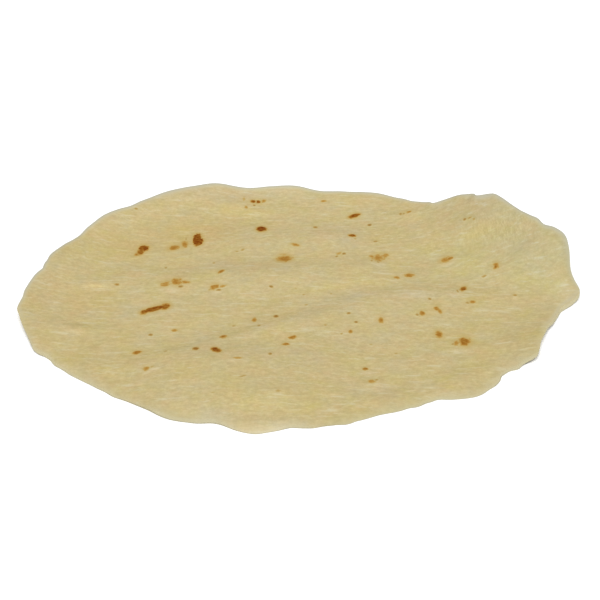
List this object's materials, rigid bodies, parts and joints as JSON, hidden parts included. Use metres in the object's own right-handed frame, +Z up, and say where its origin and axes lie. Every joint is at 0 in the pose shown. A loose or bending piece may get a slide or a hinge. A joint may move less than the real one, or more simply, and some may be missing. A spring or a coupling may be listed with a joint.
{
  "type": "flatbread tortilla",
  "caption": "Thin, soft round flatbread with an irregular hand-stretched outline, shallow waves and a rim that curls up at one side.",
  "frame": {"origin": "centre of the bounding box at its base, the table it lies on", "axes": "+Z up, +X to the right along the longest extent, -Y towards the picture's front"},
  "size_m": [0.2472, 0.2256, 0.0201],
  "materials": {
    "dough": "dry matt griddled dough with small brown toasted spots"
  },
  "bodies": {
    "root": {"tortilla": "dough"}
  },
  "joints": []
}
